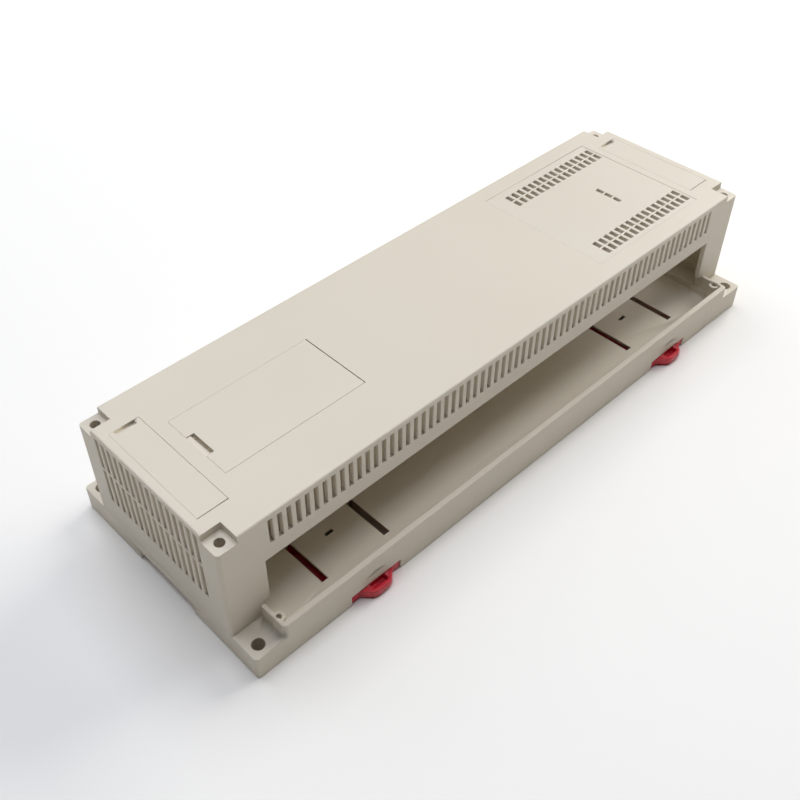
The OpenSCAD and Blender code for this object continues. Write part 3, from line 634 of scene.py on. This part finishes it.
def clip_way(side):
    """What the tray has for one clip: a stop and a fixed hook, and the cuts it needs."""
    x = side * CLIP_X
    hook_y = CHANNEL_Y - HOOK_REACH
    lead = HOOK_REACH * HOOK_LEAD
    added = [
        box((x - STOP_W / 2, -STOP_Y - STOP_T, CLIP_Z0 + STOP_RISE),
            (x + STOP_W / 2, -STOP_Y, RAIL_DEPTH + LAP)),
        prism([(CHANNEL_Y + LAP, 0), (hook_y + lead, 0), (hook_y, lead), (hook_y, HOOK_TOP),
               (CHANNEL_Y + LAP, HOOK_TOP)], x - NOSE_HALF, x + NOSE_HALF, "X"),
    ]
    nose = NOSE_HALF + SLIDE_GAP
    bend, bend_grow = MOUTH_BEND
    flare = [(-HALF_W - OVER, MOUTH_EDGE), (-HALF_W, MOUTH_EDGE), (-HALF_W + bend, bend_grow),
             (-HALF_W + MOUTH_EDGE, 0), (-INNER_Y + LAP, 0)]
    cuts = [
        loft([(y, rect(x - MOUTH_W / 2, -OVER, x + MOUTH_W / 2, MOUTH_H, grow))
              for y, grow in flare], "Y"),
        box((x - nose, -RIB_Y - LAP, -OVER), (x + nose, -CHANNEL_Y + LAP, RAIL_DEPTH)),
        mouth((x - STOP_W / 2, -STOP_Y, RAIL_DEPTH - 2 * LAP),
              (x + STOP_W / 2, -STOP_Y + STOP_HOLE, FLOOR_TOP), BORE_EDGE),
        front_scoop(side),
    ]
    return added, cuts


def tray(plastic):
    """The tray: floor and ears, ribbed underside, raised walls, posts and the clips' ways."""
    body = prism(round_rect(HALF_L, HALF_W, CORNER_R), 0, FLOOR_TOP)
    add(body, *seats())
    soften(body, TRAY_EDGE)
    underside(body, plastic)
    long_y = (SLOT_FRONT - RIB_Y) / 2
    starts = [side * CLIP_X - BAY_X + SLOT_W / 2 for side in SIGNS]
    apart = (2 * BAY_X - SLOT_W, 0, 0)
    rows = [(box((-SLOT_W / 2, -long_y, 0), (SLOT_W / 2, long_y + 2 * LAP, LIP_T)), 2,
             (x, -RIB_Y - long_y, 0), apart) for x in starts]
    for side in SIGNS:
        post = round_end(BOARD_POST_D / 2, -2 * LAP, BOARD_POST_H, POST_EDGE)
        rows.append((turned((0, 0), post), 3,
                     (-BOARD_POST_X, side * BOARD_POST_Y, FLOOR_TOP), (BOARD_POST_X, 0, 0)))
    add_rows(body, "UNION", plastic, rows)
    ways = [clip_way(side) for side in SIGNS]
    add(body, raised_walls(), *corner_posts(), *[shape for way in ways for shape in way[0]])
    floor = FLOOR_TOP - RAIL_DEPTH
    wide = SLOT_W / 2 + UNDERCUT
    rows = [(slot((SLOT_W, 2 * long_y), floor, FLOOR_SLOT_EDGE), 2,
             (x, -RIB_Y - long_y, RAIL_DEPTH + floor / 2), apart) for x in starts]
    long = long_y - SLOT_END
    rows += [(box((-wide, -long, LIP_T + LIP_SKIN), (wide, long, FLOOR_TOP - SKIN)), 2,
              (x, -RIB_Y - long_y, 0), apart) for x in starts]
    for side in SIGNS:
        pilot = flared(BOARD_PILOT_D / 2, BOARD_PILOT_Z, BOARD_POST_H, BORE_EDGE)
        rows.append((turned((0, 0), pilot), 3,
                     (-BOARD_POST_X, side * BOARD_POST_Y, FLOOR_TOP), (BOARD_POST_X, 0, 0)))
    add_rows(body, "DIFFERENCE", plastic, rows)
    cut(body, *corner_bores(), *[shape for way in ways for shape in way[1]])
    return finish(body, plastic)


# ---------------------------------------------------------------- vent panel, flaps and door


def vent_panel(plastic):
    """The snapped-in plate with two grilles, three lamp slots and its four snap legs."""
    body = box((PANEL_X0, -PANEL_W / 2, CASE_H - PLATE_T), (PANEL_X1, PANEL_W / 2, CASE_H))
    middle = (PANEL_X0 + PANEL_X1) / 2
    reach = (PANEL_X1 - PANEL_X0) / 2 - LEDGE_W - FIT_GAP
    high = CASE_H - PLATE_T
    low = high - LEDGE_T - FIT_GAP
    legs = []
    for sx, sy in CORNERS:
        outline = [(reach - SNAP_T, high + 2 * LAP), (reach, high + 2 * LAP), (reach, low),
                   (reach + SNAP_CATCH, low - SNAP_FLAT), (reach - SNAP_SLOPE, low - SNAP_TIP),
                   (reach - SNAP_T, low - SNAP_TIP)]
        y = sy * PANEL_W / 5
        legs.append(prism([(middle + sx * a, b) for a, b in outline], y - SNAP_W / 2,
                          y + SNAP_W / 2, "Y"))
    soften(body, PLATE_EDGE)
    middle_z = CASE_H - PLATE_T / 2
    rows = [(slot(LAMP_SLOT, PLATE_T, GRILLE_EDGE), 3,
             (LAMP_X, LAMP_SHIFT - LAMP_PITCH, middle_z), (0, LAMP_PITCH, 0))]
    for side in SIGNS:
        for tier in SIGNS:
            y = GRILLE_SHIFT + side * GRILLE_OUT + tier * GRILLE_ROW_PITCH / 2
            rows.append((slot(GRILLE_SLOT, PLATE_T, GRILLE_EDGE), GRILLE_N,
                         (GRILLE_X1, y, middle_z), (-GRILLE_PITCH, 0, 0)))
    add_rows(body, "DIFFERENCE", plastic, rows)
    add(body, *legs)
    return finish(body, plastic)


def hinged_plate(length, width, place):
    """A flat plate with a barrel under its +X edge and a pin at each end of the barrel."""
    x, z = length / 2 - BARREL_R, CASE_H - BARREL_R
    turn = [math.pi / 2 * (1 - i / 4) for i in range(5)]
    edge = [(x + BARREL_R - HINGE_ROUND * (1 - math.cos(a)),
             CASE_H - HINGE_ROUND * (1 - math.sin(a))) for a in turn]
    outline = [(x, CASE_H - PLATE_T), (-length / 2, CASE_H - PLATE_T), (-length / 2, CASE_H)]
    plate = prism(outline + edge + [(x + BARREL_R, z), (x, z)], -width / 2, width / 2, "Y", place)
    barrel = rod((x, z), BARREL_R, -width / 2, width / 2, "Y", place=place)
    pin = rod((x, z), PIN_R, -width / 2 - PIN_REACH, width / 2 + PIN_REACH, "Y", 32, place)
    return add(plate, barrel, pin)


def door(plastic):
    """The access door, a hinged plate with a latch notch in its free edge."""
    body = hinged_plate(DOOR_L, DOOR_W, DOOR_PLACE)
    cut(body, box((DOOR_X0 - OVER, -DOOR_NOTCH_L / 2, CASE_H - PLATE_T - OVER),
                  (DOOR_X0 + DOOR_NOTCH_W, DOOR_NOTCH_L / 2, CASE_H + OVER)))
    soften(body, PLATE_EDGE)
    return finish(body, plastic)


def end_flap(side, plastic):
    """An end flap, a hinged plate with a nail scoop in its free edge."""
    body = hinged_plate(FLAP_L, FLAP_W, flap_place(side))
    back = FLAP_L / 2
    x = side * FLAP_X
    scoop = box((x - NAIL_SCOOP_L / 2, back - NAIL_SCOOP_W, CASE_H - NAIL_SCOOP_T),
                (x + NAIL_SCOOP_L / 2, back + OVER, CASE_H + OVER))
    soften(body, PLATE_EDGE)
    cut(body, scoop)
    return finish(body, plastic)


# ---------------------------------------------------------------- rail clips


def pull_tab(x):
    """The tab that stands out of the wall, with a round tip and a blind slot by the wall."""
    tip_y = -HALF_W - TAB_OUT
    root_y = CLIP_FACE + OVER
    slope = (TAB_ROOT - TAB_TIP) / 2 / (CLIP_FACE - tip_y)
    root = TAB_ROOT / 2 + slope * (root_y - CLIP_FACE)
    body = prism([(x - TAB_TIP / 2, tip_y), (x + TAB_TIP / 2, tip_y), (x + root, root_y),
                  (x - root, root_y)], CLIP_Z0 + TAB_THIN, CLIP_Z1 - TAB_THIN)
    bm = bmesh.new()
    bm.from_mesh(body.data)
    tips = [e for e in bm.edges if all(abs(v.co.y - tip_y) < TOUCH for v in e.verts)
            and abs(e.verts[0].co.z - e.verts[1].co.z) > TOUCH]
    bmesh.ops.bevel(bm, geom=tips, offset=TAB_ROUND, segments=6, profile=0.5, affect="EDGES")
    bm.to_mesh(body.data)
    bm.free()
    cut(body, box((x - TAB_SLOT / 2, tip_y + TAB_RING, CLIP_Z0 + TAB_THIN + TAB_WEB),
                  (x + TAB_SLOT / 2, CLIP_FACE, CASE_H)))
    return soften(body, TAB_EDGE)


def clip(side, plastic):
    """A rail clip: tab, sliding body, guide flanges, nose under the rail and stop window."""
    x = side * CLIP_X
    mouth, core = MOUTH_W / 2 - SLIDE_GAP, CLIP_HALF - CLIP_FLANGE
    half = [(mouth, CLIP_FACE), (mouth, -SHOULDER_Y), (core, -SHOULDER_Y), (core, -CLIP_BACK)]
    body = prism([(x + a, b) for a, b in half] + [(x - a, b) for a, b in reversed(half)],
                 CLIP_Z0, CLIP_Z1)
    tip_y = -CHANNEL_Y + HOOK_REACH
    nose = prism([(-CLIP_BACK - LAP, CLIP_Z0), (tip_y - NOSE_LEAD, CLIP_Z0),
                  (tip_y, CLIP_Z0 + NOSE_LEAD), (tip_y, HOOK_TOP), (-CLIP_BACK - LAP, HOOK_TOP)],
                 x - NOSE_HALF, x + NOSE_HALF, "X")
    flanges = box((x - CLIP_HALF, -SHOULDER_Y, FLANGE_Z),
                  (x + CLIP_HALF, -CLIP_BACK, FLANGE_Z + FLANGE_T))
    add(body, flanges, nose)
    window = box((x - STOP_W / 2 - SLIDE_GAP, -STOP_Y - STOP_T - 2 * SLIDE_GAP, -OVER),
                 (x + STOP_W / 2 + SLIDE_GAP, -STOP_Y + CLIP_TRAVEL + SLIDE_GAP,
                  RAIL_DEPTH + OVER))
    hollows = []
    for sx in SIGNS:
        inner, outer = sorted((sx * (core - HOLLOW_IN), sx * (CLIP_HALF - HOLLOW_RIM)))
        hollows.append(box((x + inner, HOLLOW_END - SHOULDER_Y, CLIP_Z0 + HOLLOW_FLOOR),
                           (x + outer, -CLIP_BACK - HOLLOW_END, CLIP_Z1 + OVER)))
    cut(body, window)
    soften(body, CLIP_EDGE)
    cut(body, *hollows)
    add(body, pull_tab(x))
    return finish(body, plastic)


# ---------------------------------------------------------------- scene


def make_camera():
    """The camera, set by where it stands and the directions of its view and its right side."""
    data = bpy.data.cameras.new("camera")
    data.sensor_width = SENSOR
    data.lens = FOCAL * SENSOR / PICTURE
    data.shift_x, data.shift_y = 0.03, -0.01
    data.clip_start, data.clip_end = 0.01, 20
    cam = bpy.data.objects.new("camera", data)
    forward, right = Vector(CAMERA_FORWARD).normalized(), Vector(CAMERA_RIGHT).normalized()
    turn = Matrix((right, right.cross(forward), -forward)).transposed().to_4x4()
    turn.translation = Vector(CAMERA_PLACE) * MM
    cam.matrix_world = turn
    bpy.context.scene.collection.objects.link(cam)
    bpy.context.scene.camera = cam


def area_light(name, place, size, power, colour):
    """A soft rectangular light that faces the middle of the case."""
    data = bpy.data.lights.new(name, "AREA")
    data.shape = "RECTANGLE"
    data.size, data.size_y = size
    data.energy = power
    data.color = colour
    lamp = bpy.data.objects.new(name, data)
    lamp.location = place
    lamp.rotation_euler = (-Vector(place)).to_track_quat("-Z", "Y").to_euler()
    bpy.context.scene.collection.objects.link(lamp)


def make_floor():
    """A wide pale floor that glows a little far from the case, as a lit studio floor does."""
    mesh = bpy.data.meshes.new("floor")
    outline = [(a * FLOOR_HALF, b * FLOOR_HALF, FLOOR_Z) for a, b in rect(-1, -1, 1, 1)]
    mesh.from_pydata(outline, [], [(0, 1, 2, 3)])
    floor = bpy.data.objects.new("floor", mesh)
    bpy.context.scene.collection.objects.link(floor)
    mat = bpy.data.materials.new("floor")
    mat.use_nodes = True
    nodes, link = mat.node_tree.nodes, mat.node_tree.links.new
    shader = nodes["Principled BSDF"]
    shader.inputs["Base Color"].default_value = (0.95, 0.922, 0.872, 1)
    shader.inputs["Roughness"].default_value = 0.8
    shader.inputs["Emission Color"].default_value = (1, 1, 1, 1)
    place = nodes.new("ShaderNodeTexCoord").outputs["Object"]
    away = nodes.new("ShaderNodeVectorMath")
    away.operation = "LENGTH"
    glow = nodes.new("ShaderNodeMapRange")
    glow.interpolation_type = "SMOOTHSTEP"
    for label, value in (("From Min", GLOW_FROM), ("From Max", GLOW_FULL), ("To Min", 0.0),
                         ("To Max", GLOW)):
        glow.inputs[label].default_value = value
    link(place, away.inputs[0])
    link(away.outputs["Value"], glow.inputs["Value"])
    link(glow.outputs["Result"], shader.inputs["Emission Strength"])
    mesh.materials.append(mat)
    floor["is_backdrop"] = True


def moulded_plastic(name, colour, shade, rough, grain, grain_size):
    """Moulded plastic: a colour that drifts a little over the piece, and a fine mould texture."""
    mat = bpy.data.materials.new(name)
    mat.use_nodes = True
    nodes, link = mat.node_tree.nodes, mat.node_tree.links.new
    shader = nodes["Principled BSDF"]
    shader.inputs["IOR"].default_value = 1.5
    place = nodes.new("ShaderNodeTexCoord").outputs["Object"]

    drift = nodes.new("ShaderNodeTexNoise")
    drift.inputs["Scale"].default_value = 14.0
    drift.inputs["Detail"].default_value = 2.0
    tint = nodes.new("ShaderNodeValToRGB")
    tint.color_ramp.elements[0].position, tint.color_ramp.elements[1].position = 0.3, 0.7
    tint.color_ramp.elements[0].color = (*shade, 1)
    tint.color_ramp.elements[1].color = (*colour, 1)
    link(place, drift.inputs["Vector"])
    link(drift.outputs["Fac"], tint.inputs["Fac"])
    link(tint.outputs["Color"], shader.inputs["Base Color"])

    patches = nodes.new("ShaderNodeTexNoise")
    patches.inputs["Scale"].default_value = 90.0
    patches.inputs["Detail"].default_value = 3.0
    gloss = nodes.new("ShaderNodeMapRange")
    gloss.inputs["To Min"].default_value = rough - 0.05
    gloss.inputs["To Max"].default_value = rough + 0.05
    link(place, patches.inputs["Vector"])
    link(patches.outputs["Fac"], gloss.inputs["Value"])
    link(gloss.outputs["Result"], shader.inputs["Roughness"])

    texture = nodes.new("ShaderNodeTexNoise")
    texture.inputs["Scale"].default_value = 1 / (grain_size * MM)
    texture.inputs["Detail"].default_value = 2.0
    texture.inputs["Roughness"].default_value = 0.6
    relief = nodes.new("ShaderNodeBump")
    relief.inputs["Strength"].default_value = grain
    relief.inputs["Distance"].default_value = 0.02 * MM
    link(place, texture.inputs["Vector"])
    link(texture.outputs["Fac"], relief.inputs["Height"])
    link(relief.outputs["Normal"], shader.inputs["Normal"])
    return mat


for spare in ("Cube", "Light", "Camera"):
    if spare in bpy.data.objects:
        bpy.data.objects.remove(bpy.data.objects[spare])

make_camera()
make_floor()
for name, place, size, power, colour in LIGHTS:
    area_light(name, place, size, power, colour)
world = bpy.context.scene.world or bpy.data.worlds.new("room")
bpy.context.scene.world = world
world.use_nodes = True
sky = world.node_tree.nodes["Background"]
sky.inputs["Color"].default_value = (1, 1, 1, 1)
sky.inputs["Strength"].default_value = ROOM_LIGHT
bpy.context.scene.view_settings.view_transform = "Standard"

case_ivory = moulded_plastic("case_ivory", (0.69, 0.62, 0.505), (0.67, 0.602, 0.486),
                             rough=0.5, grain=0.35, grain_size=0.5)
flap_ivory = moulded_plastic("flap_ivory", (0.69, 0.622, 0.51), (0.67, 0.604, 0.491),
                             rough=0.5, grain=0.35, grain_size=0.5)
clip_red = moulded_plastic("clip_red", (0.60, 0.014, 0.032), (0.56, 0.012, 0.028),
                           rough=0.36, grain=0.2, grain_size=0.4)

ROWS = {"DIFFERENCE": row_tree("row of cuts", "DIFFERENCE"),
        "UNION": row_tree("row of posts", "UNION")}

hand_over(tray(case_ivory), "tray", "case", "base_tray")
hand_over(cover(case_ivory), "cover", "case", "top_cover")
hand_over(vent_panel(flap_ivory), "grille_plate", "case", "vent_panel")
hand_over(door(flap_ivory), "door_plate", "door", "top_door")
for side, word in ((-1, "left"), (1, "right")):
    hand_over(end_flap(side, flap_ivory), word + "_flap_plate", word + "_flap",
              word + "_end_flap")
    hand_over(clip(side, clip_red), word + "_clip_slide", "clip_" + word,
              "din_clip_" + word)

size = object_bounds()
